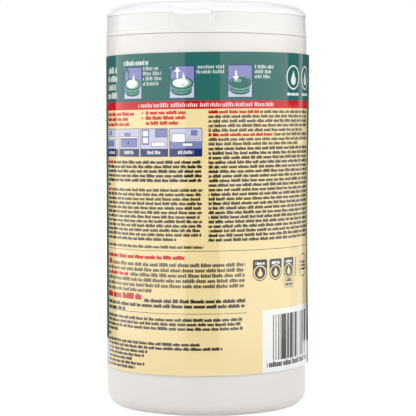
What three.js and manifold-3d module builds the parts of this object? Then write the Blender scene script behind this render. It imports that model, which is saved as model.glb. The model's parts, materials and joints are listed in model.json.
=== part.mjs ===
// A round dispensing canister for pre-moistened wipes. A blow-moulded canister with a push-on
// lid holds a coreless roll, whose first wipe stands up through the lid's orifice. The lid's
// domed cap flips open on a living hinge at the back. A wrap label and a thicker leaflet of
// directions, with one free end, go round the canister.
//
// Millimetres, +Z up. The origin is the middle of the foot. The living hinge is on the -Y side.
// A place round the canister is an angle from -Y towards +X, in degrees.

import * as THREE from "three";
import { mergeVertices } from "three/addons/utils/BufferGeometryUtils.js";
import Module from "manifold-3d";

// Roundness of the shells and of the small round pieces, in sides
const SHELL_SIDES = 48;
const SMALL_SIDES = 24;
const WIPE_STEPS = 14;

// Canister
const BODY_RADIUS = 56;
const BODY_WALL = 0.9;
const SHOULDER_HEIGHT = 204.9;
const SHOULDER_ROUND = 1.2;
const HEEL_ROUND = 7;
const FOOT_WIDTH = 3.5;
const PUSH_UP = 3.5;
const PUSH_UP_SLOPE = 4;
const NECK_INSET = 2.5;
const NECK_HEIGHT = 9.6;
const NECK_WALL = 1.2;
const NECK_LEAD_IN = 0.5;
const NECK_BEAD = 0.6;
const NECK_BEAD_HEIGHT = 1.8;
const NECK_BEAD_RISE = 5.4;
const SHOULDER_SLOPE = 2.2;

// Clearances between the pieces
const SEAT_GAP = 0.3;
const SNAP_CLEARANCE = 0.15;
const PLUG_CLEARANCE = 0.2;
const ADHESIVE = 0.05;

// Lid
const LID_GAP = 0.8;
const LID_INSET = 0.1;
const LID_DRAFT = 0.45;
const LID_WALL = 1.2;
const LID_SEAM = 0.05;
const LID_BEAD = 0.4;
const LID_BEAD_HEIGHT = 1.4;
const LID_BEAD_RISE = 1.2;
const DECK_DEPTH = 6.2;
const DECK_THICKNESS = 1.2;
const ORIFICE_RADIUS = 7;
const ORIFICE_LAND = 3;
const ORIFICE_RISE = 2.2;
const ORIFICE_SLOPE = 6;
const SLIT_COUNT = 6;
const SLIT_LENGTH = 5;
const SLIT_WIDTH = 1.2;

// Flip cap
const CAP_OVERHANG = 0.1;
const CAP_SIDE = 0.4;
const CAP_ROUND = 5.5;
const CAP_WALL = 1.2;
const CAP_RIM_WIDTH = 5;
const CAP_PANEL_DROP = 0.8;
const CAP_PLUG_DEPTH = 2.6;
const CAP_PLUG_WALL = 1.2;
const CAP_RING_WALL = 1;
const THUMB_LIP_WIDTH = 20;
const THUMB_LIP_REACH = 1.5;
const THUMB_LIP_HEIGHT = 1.3;
const THUMB_SCOOP_WIDTH = 22;
const THUMB_SCOOP_HEIGHT = 6;
const THUMB_SCOOP_DEPTH = 0.5;

// Living hinge
const HINGE_PAD_WIDTH = 24.2;
const HINGE_PAD_INSET = 0.2;
const HINGE_PAD_DROP = 1.6;
const HINGE_PAD_MARGIN = 1.5;
const HINGE_NOTCH_MARGIN = 1.6;
const HINGE_NOTCH_HEIGHT = 2.4;
const HINGE_GAP = 0.3;
const FILM_THICKNESS = 0.4;
const FILM_MARGIN = 0.6;

// Label and leaflet
const LABEL_BOTTOM = 22.3;
const LABEL_TOP_MARGIN = 10.5;
const LABEL_THICKNESS = 0.15;
const LABEL_TURN = 7.7;
const LEAFLET_THICKNESS = 0.5;
const LEAFLET_START = -82;
const LEAFLET_END = 76;
const LEAFLET_FREE_END = 10.5;

// Wipes
const ROLL_SIDE_GAP = 4.1;
const ROLL_HEADSPACE = 23.2;
const ROLL_HOLE_RADIUS = 9;
const TURN_PITCH = 4.2;
const TURN_WIDTH = 2.6;
const TURN_RISE = 1;
const WIPE_STEM_CLEARANCE = 2;
const WIPE_TUFT_CLEARANCE = 0.5;
const WIPE_ROOT_DEPTH = 34;
const WIPE_ROOT_HEIGHT = 22;
const WIPE_HEADROOM = 0.9;
const WIPE_GATHERS = 5;
const WIPE_GATHER_DEPTH = 0.3;
const WIPE_TWIST = 3.2;

const COLOURS = {
  canister: { color: 0xe9e4df, roughness: 0.42, metalness: 0 },
  lid: { color: 0xf4f3f1, roughness: 0.34, metalness: 0 },
  label: { color: 0x2f6a64, roughness: 0.28, metalness: 0 },
  leaflet: { color: 0xead69f, roughness: 0.3, metalness: 0 },
  wipes: { color: 0xf5f5f2, roughness: 0.95, metalness: 0 },
};

// Places that follow from the sizes
const neckRadius = BODY_RADIUS - NECK_INSET;
const neckInside = neckRadius - NECK_WALL;
const neckTop = SHOULDER_HEIGHT + NECK_HEIGHT;
const beadRadius = neckRadius + NECK_BEAD;
const beadMiddle = SHOULDER_HEIGHT + NECK_BEAD_RISE;
const lidTop = neckTop + SEAT_GAP + LID_WALL;
const lidBottom = SHOULDER_HEIGHT + LID_GAP;
const lidFootRadius = BODY_RADIUS - LID_INSET;
const lidTopRadius = lidFootRadius - LID_DRAFT;
const plugOutside = neckInside - PLUG_CLEARANCE;
const plugInside = plugOutside - LID_WALL;
const deckTop = lidTop - DECK_DEPTH;
const deckUnderside = deckTop - DECK_THICKNESS;
const orificeTop = deckTop + ORIFICE_RISE;
const capRadius = lidTopRadius + CAP_OVERHANG;
const capBottom = lidTop + SEAT_GAP;
const capRoundMiddle = capBottom + CAP_SIDE;
const capTop = capRoundMiddle + CAP_ROUND;
const capFlatRadius = capRadius - CAP_ROUND;
const capPanelRadius = capFlatRadius - CAP_RIM_WIDTH;
const capPanelTop = capTop - CAP_PANEL_DROP;
const capPanelUnderside = capPanelTop - CAP_WALL;
const capRingInside = ORIFICE_RADIUS + ORIFICE_LAND;
const padFace = HINGE_PAD_INSET - lidTopRadius;
const padTop = lidTop - HINGE_PAD_DROP;
const hingeY = padFace + FILM_THICKNESS / 2;
const hingeHeight = (lidTop + capBottom) / 2;
const notchFace = hingeY + FILM_THICKNESS / 2 + HINGE_GAP;
const notchWidth = HINGE_PAD_WIDTH - 2 * HINGE_NOTCH_MARGIN;
const lidBeadInside = beadRadius + SNAP_CLEARANCE;
const floorTop = PUSH_UP + BODY_WALL;
const rollBottom = floorTop + SEAT_GAP;
const rollTop = SHOULDER_HEIGHT - ROLL_HEADSPACE;
const rollRadius = BODY_RADIUS - BODY_WALL - ROLL_SIDE_GAP;
const labelRadius = BODY_RADIUS + ADHESIVE + LABEL_THICKNESS;
const labelHeight = SHOULDER_HEIGHT - LABEL_TOP_MARGIN - LABEL_BOTTOM;

const wasm = await Module();
wasm.setup();

// A closed geometry as a manifold-3d solid
function solidOf(geometry) {
  const bare = geometry.index ? geometry.toNonIndexed() : geometry.clone();
  bare.deleteAttribute("normal");
  bare.deleteAttribute("uv");
  const merged = mergeVertices(bare, 1e-4);
  const vertProperties = new Float32Array(merged.attributes.position.array);
  const triVerts = new Uint32Array(merged.index.array);
  return new wasm.Manifold(new wasm.Mesh({ numProp: 3, vertProperties, triVerts }));
}

function geometryOf(solid) {
  const mesh = solid.getMesh();
  const positions = new Float32Array(mesh.numVert * 3);
  for (let i = 0; i < mesh.numVert; i++) {
    const from = i * mesh.numProp;
    positions.set(mesh.vertProperties.subarray(from, from + 3), i * 3);
  }
  const geometry = new THREE.BufferGeometry();
  geometry.setAttribute("position", new THREE.BufferAttribute(positions, 3));
  geometry.setIndex(new THREE.BufferAttribute(new Uint32Array(mesh.triVerts), 1));
  geometry.computeVertexNormals();
  return geometry;
}

// A profile of [radius, height] points turned about Z. Its outside runs upwards.
function turned(profile, sides) {
  const points = profile.map(([radius, height]) => new THREE.Vector2(radius, height));
  return new THREE.LatheGeometry(points, sides).rotateX(Math.PI / 2);
}

// A closed ring: its profile ends where it starts
function ring(profile, sides) {
  return turned([...profile, profile[0]], sides);
}

// Points along a quarter turn, from one angle to another in degrees
function arc(centreRadius, centreHeight, radius, from, to, steps) {
  return Array.from({ length: steps + 1 }, (_, i) => {
    const angle = THREE.MathUtils.degToRad(from + ((to - from) * i) / steps);
    return [centreRadius + radius * Math.cos(angle), centreHeight + radius * Math.sin(angle)];
  });
}

function box(width, depth, height, x, y, z) {
  return new THREE.BoxGeometry(width, depth, height).translate(x, y, z);
}

// A box between two heights and two distances along Y, centred on X
function slab(width, y0, y1, z0, z1) {
  return box(width, y1 - y0, z1 - z0, 0, (y0 + y1) / 2, (z0 + z1) / 2);
}

// The place round the canister at an angle, as a point of a plan
function around(radius, degrees) {
  const angle = THREE.MathUtils.degToRad(degrees);
  return new THREE.Vector2(radius * Math.sin(angle), -radius * Math.cos(angle));
}

function canisterBody() {
  const heelRadius = BODY_RADIUS - HEEL_ROUND;
  const footInside = heelRadius - FOOT_WIDTH;
  const plateau = footInside - PUSH_UP_SLOPE;
  const inside = BODY_RADIUS - BODY_WALL;
  const heelInside = HEEL_ROUND - BODY_WALL;
  const shoulderRadius = BODY_RADIUS - SHOULDER_ROUND;
  const halfBead = NECK_BEAD_HEIGHT / 2;
  const insideShoulder = SHOULDER_HEIGHT - BODY_WALL;
  return turned(
    [
      [0, PUSH_UP],
      [plateau, PUSH_UP],
      [footInside, 0],
      ...arc(heelRadius, HEEL_ROUND, HEEL_ROUND, -90, 0, 5),
      ...arc(shoulderRadius, SHOULDER_HEIGHT - SHOULDER_ROUND, SHOULDER_ROUND, 0, 90, 2),
      [neckRadius, SHOULDER_HEIGHT],
      [neckRadius, beadMiddle - halfBead],
      [beadRadius, beadMiddle],
      [neckRadius, beadMiddle + halfBead],
      [neckRadius, neckTop - NECK_LEAD_IN],
      [neckRadius - NECK_LEAD_IN, neckTop],
      [neckInside, neckTop],
      [neckInside, insideShoulder],
      [inside, insideShoulder - SHOULDER_SLOPE],
      ...arc(heelRadius, HEEL_ROUND, heelInside, 0, -90, 3),
      [footInside, BODY_WALL],
      [plateau, floorTop],
      [0, floorTop],
    ],
    SHELL_SIDES,
  );
}

function wrapLabel() {
  const top = LABEL_BOTTOM + labelHeight;
  const inside = BODY_RADIUS + ADHESIVE;
  return ring(
    [
      [labelRadius, LABEL_BOTTOM],
      [labelRadius, top],
      [inside, top],
      [inside, LABEL_BOTTOM],
    ],
    SHELL_SIDES,
  );
}

// The leaflet follows the label from its glued start to its tangent, and runs on straight
function leaflet() {
  const flatness = Math.cos(Math.PI / SHELL_SIDES);
  const inside = labelRadius / flatness + ADHESIVE;
  const outside = inside + LEAFLET_THICKNESS;
  const steps = Math.ceil(((LEAFLET_END - LEAFLET_START) * SHELL_SIDES) / 360);
  const start = LABEL_TURN + LEAFLET_START;
  const end = LABEL_TURN + LEAFLET_END;
  const angles = Array.from({ length: steps + 1 }, (_, i) => start + ((end - start) * i) / steps);
  const along = around(LEAFLET_FREE_END, end + 90);
  const outerEnd = around(outside, end).add(along);
  const innerEnd = around(inside, end).add(along);
  const plan = new THREE.Shape([
    ...angles.map((angle) => around(outside, angle)),
    outerEnd,
    innerEnd,
    ...angles.toReversed().map((angle) => around(inside, angle)),
  ]);
  const options = { depth: labelHeight, bevelEnabled: false };
  return new THREE.ExtrudeGeometry(plan, options).translate(0, 0, LABEL_BOTTOM);
}

// A ridge on the roll's top that winds out from its hole, as the edge of the web does
function turns() {
  const first = ROLL_HOLE_RADIUS + TURN_WIDTH;
  const last = rollRadius - TURN_WIDTH;
  const count = Math.floor((last - first) / TURN_PITCH);
  const steps = count * SMALL_SIDES;
  const line = (offset) =>
    Array.from({ length: steps + 1 }, (_, i) =>
      around(first + offset + (TURN_PITCH * i) / SMALL_SIDES, (360 * i) / SMALL_SIDES),
    );
  const half = TURN_WIDTH / 2;
  const plan = new THREE.Shape([...line(half), ...line(-half).reverse()]);
  const options = { depth: 2 * TURN_RISE, bevelEnabled: false };
  return new THREE.ExtrudeGeometry(plan, options).translate(0, 0, rollTop - TURN_RISE);
}

function wipesRoll() {
  const web = ring(
    [
      [rollRadius, rollBottom],
      [rollRadius, rollTop],
      [ROLL_HOLE_RADIUS, rollTop],
      [ROLL_HOLE_RADIUS, rollBottom],
    ],
    SHELL_SIDES,
  );
  return geometryOf(solidOf(web).add(solidOf(turns())));
}

// Gathers round Z that wind as they rise, cut into a turned geometry
function gathered(geometry) {
  const places = geometry.attributes.position;
  const twist = THREE.MathUtils.degToRad(WIPE_TWIST);
  for (let i = 0; i < places.count; i++) {
    const x = places.getX(i);
    const y = places.getY(i);
    const z = places.getZ(i);
    const angle = Math.atan2(y, x) - twist * z;
    const keep = 1 - (WIPE_GATHER_DEPTH * (1 + Math.cos(WIPE_GATHERS * angle))) / 2;
    places.setXYZ(i, x * keep, y * keep, z);
  }
  return geometry;
}

// The first wipe: its root leaves the roll's hole, and its tuft stands over the orifice
function leadingWipe() {
  const root = ROLL_HOLE_RADIUS - SEAT_GAP;
  const stem = ORIFICE_RADIUS - WIPE_STEM_CLEARANCE;
  const tuft = ORIFICE_RADIUS - WIPE_TUFT_CLEARANCE;
  const bottom = rollTop - WIPE_ROOT_DEPTH;
  const rootTop = bottom + WIPE_ROOT_HEIGHT;
  const tuftTop = capPanelUnderside - WIPE_HEADROOM;
  const outline = new THREE.CatmullRomCurve3(
    [
      [root, rootTop],
      [(root + stem) / 2, (rootTop + deckUnderside) / 2],
      [stem, deckUnderside],
      [stem, orificeTop],
      [tuft, (orificeTop + tuftTop) / 2],
      [tuft / 2, tuftTop],
    ].map(([radius, height]) => new THREE.Vector3(radius, height, 0)),
  );
  const side = outline.getPoints(WIPE_STEPS).map((point) => [point.x, point.y]);
  return gathered(turned([[0, bottom], [root, bottom], ...side, [0, tuftTop]], SMALL_SIDES));
}

// The skirt, with the channel's top that runs in to the plug
function lidShell() {
  const skirtInside = lidBeadInside + LID_BEAD;
  const skirtTopInside = lidTopRadius - LID_WALL;
  const lidBead = lidBottom + LID_BEAD_RISE + LID_BEAD_HEIGHT / 2;
  const channelTop = lidTop - LID_WALL;
  const channelInside = plugOutside + LID_SEAM;
  return ring(
    [
      [lidFootRadius, lidBottom],
      [lidTopRadius, lidTop],
      [channelInside, lidTop],
      [channelInside, channelTop],
      [skirtTopInside, channelTop],
      [skirtInside, beadMiddle + NECK_BEAD_HEIGHT],
      [skirtInside, lidBead + LID_BEAD_HEIGHT / 2],
      [lidBeadInside, lidBead],
      [skirtInside, lidBead - LID_BEAD_HEIGHT / 2],
      [skirtInside, lidBottom],
    ],
    SHELL_SIDES,
  );
}

// The plug that seals in the neck, the sunken deck and the orifice's cone. It is one moulding
// with the skirt, and a node of its own so that collision stays clear of the space under it.
function deckShell() {
  const coneFoot = ORIFICE_RADIUS + ORIFICE_LAND + ORIFICE_SLOPE;
  const coneTop = ORIFICE_RADIUS + ORIFICE_LAND;
  return ring(
    [
      [plugOutside, lidTop],
      [plugInside, lidTop],
      [plugInside, deckTop],
      [coneFoot, deckTop],
      [coneTop, orificeTop],
      [ORIFICE_RADIUS, orificeTop],
      [ORIFICE_RADIUS, orificeTop - DECK_THICKNESS],
      [coneTop, orificeTop - DECK_THICKNESS],
      [coneFoot, deckUnderside],
      [plugOutside, deckUnderside],
    ],
    SHELL_SIDES,
  );
}

// One slit of the star, as long as the petals, from the orifice's edge outwards
function slit(index) {
  const reach = ORIFICE_RADIUS + SLIT_LENGTH;
  const height = ORIFICE_RISE + 4 * DECK_THICKNESS;
  const cut = box(SLIT_WIDTH, reach, height, 0, reach / 2, deckTop);
  return solidOf(cut.rotateZ((2 * Math.PI * index) / SLIT_COUNT));
}

// The scooped hollow in the skirt, under the cap's lip, that lets a thumb in
function thumbScoop() {
  const middle = lidTop - THUMB_SCOOP_HEIGHT / 2;
  const scoop = new THREE.SphereGeometry(1, SMALL_SIDES, SMALL_SIDES / 2);
  const sagitta = lidTopRadius - Math.sqrt(lidTopRadius ** 2 - (THUMB_SCOOP_WIDTH / 2) ** 2);
  const depth = THUMB_SCOOP_DEPTH + sagitta;
  scoop.scale(THUMB_SCOOP_WIDTH / 2, depth, THUMB_SCOOP_HEIGHT / 2);
  return solidOf(scoop.translate(0, lidTopRadius + sagitta, middle));
}

// The thin film that joins lid and cap, up to the line that the cap turns about
function hingeFilm() {
  const width = notchWidth - 2 * FILM_MARGIN;
  const half = FILM_THICKNESS / 2;
  const plan = new THREE.Shape();
  plan.moveTo(hingeY - half, padTop - FILM_THICKNESS);
  plan.lineTo(hingeY + half, padTop - FILM_THICKNESS);
  plan.lineTo(hingeY + half, hingeHeight);
  plan.absarc(hingeY, hingeHeight, half, 0, Math.PI, false);
  const options = { depth: width, bevelEnabled: false, curveSegments: 6 };
  const film = new THREE.ExtrudeGeometry(plan, options).translate(0, 0, -width / 2);
  return film.rotateY(Math.PI / 2).rotateX(Math.PI / 2);
}

function lidBase() {
  const beyond = hingeY - HINGE_PAD_WIDTH;
  const above = lidTop + LID_WALL;
  const padBottom = lidBottom + HINGE_PAD_MARGIN;
  const pad = slab(HINGE_PAD_WIDTH, padFace, -lidBeadInside, padBottom, padTop);
  const inFrontOfPad = slab(HINGE_PAD_WIDTH, beyond, padFace, padBottom, above);
  const overPad = slab(HINGE_PAD_WIDTH, beyond, notchFace, padTop, above);
  let lid = solidOf(lidShell()).add(solidOf(pad));
  lid = lid.subtract(solidOf(inFrontOfPad)).subtract(solidOf(overPad));
  lid = lid.add(solidOf(hingeFilm()));
  return geometryOf(lid.subtract(thumbScoop()));
}

function lidDeck() {
  let deck = solidOf(deckShell());
  for (let index = 0; index < SLIT_COUNT; index++) deck = deck.subtract(slit(index));
  return geometryOf(deck);
}

// The dome with its sunken panel, the plug that seals in the lid and the orifice's ring
function capShell() {
  const underside = capTop - CAP_WALL;
  const plugOut = plugInside - PLUG_CLEARANCE;
  const plugIn = plugOut - CAP_PLUG_WALL;
  const plugBottom = lidTop - CAP_PLUG_DEPTH;
  const innerRound = CAP_ROUND - CAP_WALL;
  const ringOut = capRingInside + CAP_RING_WALL;
  const ringBottom = orificeTop + SEAT_GAP;
  const rimUnderside = Math.min(capPanelRadius + CAP_WALL, plugIn - CAP_WALL);
  return turned(
    [
      [0, capPanelUnderside],
      [capRingInside, capPanelUnderside],
      [capRingInside, ringBottom],
      [ringOut, ringBottom],
      [ringOut, capPanelUnderside],
      [rimUnderside, capPanelUnderside],
      [rimUnderside, underside],
      [plugIn, underside],
      [plugIn, plugBottom],
      [plugOut, plugBottom],
      [plugOut, underside - CAP_WALL / 2],
      ...arc(capFlatRadius, capRoundMiddle, innerRound, 70, 0, 4),
      [capRadius - CAP_WALL, capBottom],
      [capRadius, capBottom],
      ...arc(capFlatRadius, capRoundMiddle, CAP_ROUND, 0, 90, 6),
      [capPanelRadius, capTop],
      [capPanelRadius - CAP_PANEL_DROP, capPanelTop],
      [0, capPanelTop],
    ],
    SHELL_SIDES,
  );
}

// The lip at the front that a thumb lifts: a slice of a disc a little wider than the cap
function thumbLip() {
  const disc = turned(
    [
      [0, capBottom],
      [capRadius + THUMB_LIP_REACH, capBottom],
      [capRadius + THUMB_LIP_REACH, capBottom + THUMB_LIP_HEIGHT],
      [0, capBottom + THUMB_LIP_HEIGHT],
    ],
    SHELL_SIDES,
  );
  const inner = capRadius - CAP_WALL;
  const outer = capRadius + 2 * THUMB_LIP_REACH;
  const top = capBottom + 2 * THUMB_LIP_HEIGHT;
  const slice = slab(THUMB_LIP_WIDTH, inner, outer, capBottom - THUMB_LIP_HEIGHT, top);
  return solidOf(disc).intersect(solidOf(slice));
}

function flipCap() {
  const beyond = hingeY - HINGE_PAD_WIDTH;
  const below = capBottom - CAP_WALL;
  const notchTop = capBottom + HINGE_NOTCH_HEIGHT;
  const tab = slab(notchWidth, notchFace, notchFace + CAP_WALL, capBottom, notchTop + CAP_WALL);
  const notch = slab(notchWidth, beyond, notchFace, below, notchTop);
  const cap = solidOf(capShell()).add(thumbLip()).add(solidOf(tab));
  return geometryOf(cap.subtract(solidOf(notch)));
}

const PIECES = [
  ["canister_body", canisterBody, "canister"],
  ["wrap_label", wrapLabel, "label"],
  ["directions_leaflet", leaflet, "leaflet"],
  ["wipes_roll", wipesRoll, "wipes"],
  ["leading_wipe", leadingWipe, "wipes"],
  ["lid_base", lidBase, "lid"],
  ["lid_deck", lidDeck, "lid"],
  ["flip_cap", flipCap, "lid"],
];

const canister = new THREE.Group();
for (const [name, build, finish] of PIECES) {
  const piece = new THREE.Mesh(build(), new THREE.MeshStandardMaterial(COLOURS[finish]));
  piece.name = name;
  canister.add(piece);
}

export default canister;
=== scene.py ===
import json
import math
import random

import bmesh
import bpy
from bpy.props import FloatProperty, FloatVectorProperty, IntProperty, PointerProperty
from bpy.types import Operator, Panel, PropertyGroup
from mathutils import Matrix, Vector


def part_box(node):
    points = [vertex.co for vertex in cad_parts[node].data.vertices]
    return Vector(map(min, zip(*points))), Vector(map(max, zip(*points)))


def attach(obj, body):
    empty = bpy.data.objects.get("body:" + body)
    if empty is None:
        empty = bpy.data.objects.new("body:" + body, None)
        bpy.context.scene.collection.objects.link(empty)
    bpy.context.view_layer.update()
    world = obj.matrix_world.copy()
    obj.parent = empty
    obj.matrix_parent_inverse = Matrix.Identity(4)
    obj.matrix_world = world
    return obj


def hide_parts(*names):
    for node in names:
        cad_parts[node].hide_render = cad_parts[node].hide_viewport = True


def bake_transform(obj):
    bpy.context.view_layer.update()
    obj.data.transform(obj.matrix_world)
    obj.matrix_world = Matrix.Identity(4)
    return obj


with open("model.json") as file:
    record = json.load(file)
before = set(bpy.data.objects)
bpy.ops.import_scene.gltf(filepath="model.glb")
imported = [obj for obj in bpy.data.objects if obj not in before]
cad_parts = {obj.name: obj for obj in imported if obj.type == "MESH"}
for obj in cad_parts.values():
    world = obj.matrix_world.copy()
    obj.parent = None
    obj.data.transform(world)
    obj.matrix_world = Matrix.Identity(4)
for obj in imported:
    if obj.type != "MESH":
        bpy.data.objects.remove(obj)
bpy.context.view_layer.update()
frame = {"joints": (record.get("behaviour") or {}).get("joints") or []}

bl_info = {
    "name": "Wipes Canister",
    "version": (1, 0, 0),
    "blender": (4, 5, 0),
    "location": "3D View > Sidebar > Wipes Canister",
    "description": "Dresses a canister of wet wipes: shell, lid, flip cap, labels and roll",
    "category": "Object",
}

MM = 0.001
body_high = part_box("canister_body")[1]
label_low, label_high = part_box("wrap_label")
roll_low, roll_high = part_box("wipes_roll")
wipe_low, wipe_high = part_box("leading_wipe")
lid_low, lid_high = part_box("lid_base")
cap_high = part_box("flip_cap")[1]
cap_joint = next(joint for joint in frame["joints"] if joint["name"] == "cap_flip")
hinge_place = Vector(cap_joint["pos_m"])


def length(name, description, millimetres):
    """A length of the object, shown in the file's own unit."""
    return FloatProperty(
        name=name,
        description=description,
        default=millimetres * MM,
        unit="LENGTH",
        subtype="DISTANCE",
        precision=5,
    )


def angle(name, description, degrees):
    return FloatProperty(
        name=name, description=description, default=math.radians(degrees), subtype="ANGLE"
    )


def colour(name, description, red, green, blue):
    """A colour given in the 0 to 255 steps of a colour chart, kept as light."""
    light = [((step / 255 + 0.055) / 1.055) ** 2.4 for step in (red, green, blue)]
    return FloatVectorProperty(
        name=name, description=description, default=(*light, 1), size=4, subtype="COLOR", min=0, max=1
    )


class CanisterSizes(PropertyGroup):
    sides: IntProperty(name="Sides", description="Faces round each shell", default=192)
    wall: length("Wall", "Thickness of the blown wall", 0.9)
    shoulder_round: length("Shoulder round", "Radius of the shoulder's edge", 1.1)
    ledge_fall: length("Ledge fall", "How far the shoulder's ledge slopes down to its edge", 0.9)
    heel_round: length("Heel round", "Radius of the heel", 7)
    foot_width: length("Foot width", "Width of the ring that it stands on", 3.5)
    push_up: length("Push-up", "Height of the hollow under the base", 3.5)
    neck_inset: length("Neck inset", "From the body's side to the neck's", 2.5)
    neck_height: length("Neck height", "From the shoulder to the rim", 9.3)
    neck_wall: length("Neck wall", "Thickness of the neck", 1.2)
    neck_bead: length("Neck bead", "How far the snap bead stands out", 0.6)
    neck_bead_rise: length("Neck bead rise", "From the shoulder to the bead's middle", 5.1)


class LidSizes(PropertyGroup):
    wall: length("Wall", "Thickness of the moulding", 1.2)
    foot_drop: length("Foot drop", "How far the skirt's outer edge hangs down", 0.95)
    seam_fall: length("Seam fall", "How far the rim under the cap slopes down to its edge", 0.35)
    rim_height: length("Rim height", "Height of the band along the skirt's foot", 0.9)
    rim_step: length("Rim step", "How far that band stands out", 0.15)
    draft: length("Draft", "How much narrower the skirt is at its top", 0.65)
    deck_depth: length("Deck depth", "From the lid's top down to the deck", 6.2)
    orifice_radius: length("Orifice radius", "Radius of the hole that wipes leave by", 7)
    land_width: length("Land width", "Width of the raised ring round the orifice", 3)
    orifice_rise: length("Orifice rise", "From the deck up to that ring", 2.2)
    slope_width: length("Slope width", "Width of the cone that lifts the ring", 6)
    slits: IntProperty(name="Slits", description="Slits of the star", default=6)
    slit_length: length("Slit length", "From the orifice's edge outwards", 5)
    slit_width: length("Slit width", "Width of each slit", 0.9)
    pad_width: length("Pad width", "Width of the flat under the hinge", 24.2)
    pad_drop: length("Pad drop", "From the lid's top down to the flat's top", 1.6)
    pad_margin: length("Pad margin", "From the skirt's foot up to the flat", 0.4)
    scoop_width: length("Scoop width", "Width of the thumb scoop", 22)
    scoop_height: length("Scoop height", "Height of the thumb scoop", 6)
    scoop_depth: length("Scoop depth", "Depth of the thumb scoop", 0.5)


class CapSizes(PropertyGroup):
    wall: length("Wall", "Thickness of the moulding", 1.2)
    side: length("Side", "Height of the straight side under the dome's round", 0.1)
    seam: length("Seam", "Gap that shows between cap and lid", 0.06)
    round: length("Round", "How far in the dome's edge is rounded", 10)
    rim_width: length("Rim width", "Width of the flat rim on top", 0.6)
    panel_drop: length("Panel drop", "Depth of the panel inside the rim", 0.8)
    plug_wall: length("Plug wall", "Thickness of the plug", 1.2)
    plug_depth: length("Plug depth", "How far the plug reaches into the lid", 2.6)
    ring_wall: length("Ring wall", "Thickness of the ring round the orifice", 1)
    lip_width: length("Lip width", "Width of the thumb lip", 20)
    lip_reach: length("Lip reach", "How far the lip stands out", 1.5)
    lip_height: length("Lip height", "Thickness of the lip", 1.3)
    notch_width: length("Notch width", "Width of the notch at the hinge", 21)
    notch_height: length("Notch height", "Height of the notch", 2.4)
    notch_gap: length("Notch gap", "From the hinge's film to the notch's face", 0.3)
    film_thickness: length("Film thickness", "Thickness of the living hinge", 0.4)
    film_margin: length("Film margin", "From the notch's end to the film", 0.6)


class LabelSizes(PropertyGroup):
    turn: angle("Turn", "From the hinge to the middle of the directions", 7.7)
    tilt: angle("Tilt", "How crookedly the labels sit on the canister", 0.62)
    thickness: length("Thickness", "Thickness of the base label", 0.15)
    leaflet_start: angle("Leaflet start", "From the middle of the directions to the glued edge", -74.5)
    leaflet_end: angle("Leaflet end", "To where the leaflet leaves the canister", 76)
    free_end: length("Free end", "Length of the end that stands off", 8)
    print_end: length("Print end", "How far along the free end the print goes", 3.2)
    page_inset: length("Page inset", "From the glued edge to where the lower pages begin", 3.5)
    pages: IntProperty(name="Pages", description="Layers of the folded leaflet", default=5)
    page_step: length("Page step", "From one page's free edge to the next", 0.35)
    glue_bulge: length("Glue bulge", "How far the glued edge stands proud", 0.08)


class WipesSizes(PropertyGroup):
    hole_radius: length("Hole radius", "Radius of the hole in the roll", 9)
    turn_pitch: length("Turn pitch", "From one visible turn to the next", 1.3)
    turn_rise: length("Turn rise", "How far the turns' edges stand up", 1)
    width: length("Width", "Width of the web that is gathered", 178)
    pleats: IntProperty(name="Pleats", description="Pleats round the pulled wipe", default=14)
    stem_radius: length("Stem radius", "Radius where the orifice grips the wipe", 5.2)
    tuft_radius: length("Tuft radius", "Radius of the tuft under the cap", 6.5)


class StudioSizes(PropertyGroup):
    camera_distance: length("Camera distance", "From the canister's axis", 921.6)
    camera_height: length("Camera height", "Above the floor", 154.1)
    camera_side: length("Camera side", "How far the camera stands to the right", 0.87)
    camera_turn: angle("Camera turn", "From the hinge's side", 7.7)
    camera_tilt: angle("Camera tilt", "Downwards", 2.788)
    lens: FloatProperty(name="Lens", description="In millimetres, on a 36 mm frame", default=141.57)


class Colours(PropertyGroup):
    shell: colour("Shell", "Canister plastic", 235, 230, 225)
    lid: colour("Lid", "Lid and cap plastic", 239, 236, 232)
    green: colour("Green", "Label's band", 40, 104, 99)
    mint: colour("Mint", "Lit shapes in the steps", 118, 172, 158)
    red: colour("Red", "Stripe and headings", 203, 10, 19)
    cream: colour("Cream", "Directions' ground", 240, 219, 164)
    black: colour("Black", "Small rows", 38, 34, 34)
    white: colour("White", "Rows on the band", 240, 241, 238)
    navy: colour("Navy", "Pictures' captions and outlines", 30, 44, 104)
    lilac: colour("Lilac", "Steps' ground", 138, 138, 190)
    pale: colour("Pale", "Pictures' ground", 198, 200, 220)
    steel: colour("Steel", "Shaded shapes in the pictures", 122, 132, 182)
    paper: colour("Paper", "The leaflet's edges and back", 232, 228, 218)
    web: colour("Web", "Nonwoven wipes", 244, 244, 241)
    backdrop: colour("Backdrop", "Floor and wall", 232, 232, 232)

# Room between the neck, the lid and the cap, where one fits over another
CLEARANCE, BEAD_CLEARANCE, PLUG_CLEARANCE = 0.3 * MM, 0.15 * MM, 0.2 * MM


def sizes(name):
    """One of the groups of sizes that the panel shows."""
    return getattr(bpy.context.scene, "canister_" + name)


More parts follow.
